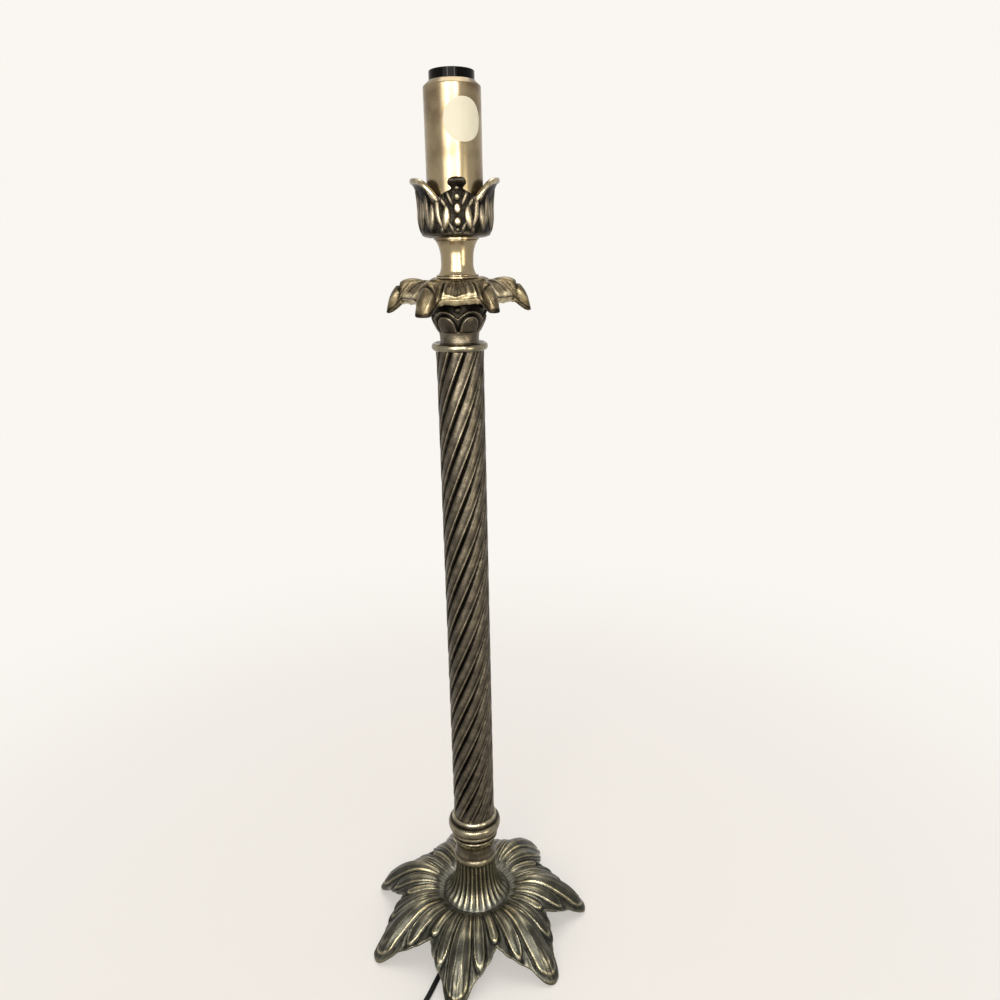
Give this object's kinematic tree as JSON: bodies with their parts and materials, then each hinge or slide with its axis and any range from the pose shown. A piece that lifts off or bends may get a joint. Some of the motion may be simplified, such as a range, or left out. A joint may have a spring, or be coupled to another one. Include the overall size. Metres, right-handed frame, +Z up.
{
  "type": "candlestick lamp",
  "caption": "Tall cast brass candlestick table lamp with a twisted column, leafed base, drip pan, candle cup, tube and screw lampholder, with a corded rotary switch and plug.",
  "frame": {"origin": "on the lamp's axis, on the surface that it stands on", "axes": "+Z up along the column, -Y to the front"},
  "size_m": [0.205, 0.3124, 0.7387],
  "materials": {
    "cast_brass": "cast brass with a dark rubbed patina",
    "satin_brass": "spun and drawn brass, satin antique finish",
    "paper": "plain cream paper",
    "phenolic": "moulded black phenolic",
    "shell_metal": "rolled thread, bright",
    "fibre": "vulcanised fibre",
    "contact_brass": "stamped brass",
    "zinc_steel": "zinc plated steel",
    "black_plastic": "moulded black plastic",
    "cord_pvc": "extruded black cord cover"
  },
  "bodies": {
    "lamp": {"base_casting": "cast_brass", "base_collar": "cast_brass", "base_ring": "cast_brass", "twisted_column": "cast_brass", "column_ring": "cast_brass", "capital": "cast_brass", "bobeche": "cast_brass", "neck_spool": "satin_brass", "candle_cup": "cast_brass", "candle_sleeve": "satin_brass", "sleeve_sticker": "paper", "holder_body": "phenolic", "screw_shell": "shell_metal", "holder_insulator": "fibre", "contact_rivets": "contact_brass", "contact_straps": "contact_brass", "terminal_screws": "contact_brass", "holder_bracket": "zinc_steel", "bracket_rivets": "zinc_steel", "threaded_rod": "zinc_steel", "cup_washer": "zinc_steel", "cup_nut": "zinc_steel", "base_washer": "zinc_steel", "base_nut": "zinc_steel", "rod_bushing": "black_plastic", "inner_cord": "cord_pvc", "holder_wires": "cord_pvc", "cord_lead": "cord_pvc", "switch_bottom": "black_plastic", "switch_top": "black_plastic", "switch_axle": "zinc_steel", "switch_screw": "zinc_steel", "switch_cord": "cord_pvc", "cord_tail": "cord_pvc", "cord_coil": "cord_pvc", "cord_tie": "black_plastic", "cord_end": "cord_pvc", "plug_body": "black_plastic", "plug_blades": "contact_brass"},
    "switch_wheel": {"switch_wheel": "black_plastic"},
    "centre_contact": {"centre_contact": "contact_brass"}
  },
  "joints": [
    {"name": "switch_turn", "type": "hinge", "parent": "lamp", "child": "switch_wheel", "pos_m": [-0.04068, -0.14286, 0.007], "axis": [0, 0, 1], "continuous": true},
    {"name": "contact_press", "type": "hinge", "parent": "lamp", "child": "centre_contact", "pos_m": [0, -0.0023, 0.70605], "axis": [-1, 0, 0], "range_deg": [0, 10], "stiffness_Nm_per_rad": 0.05}
  ]
}
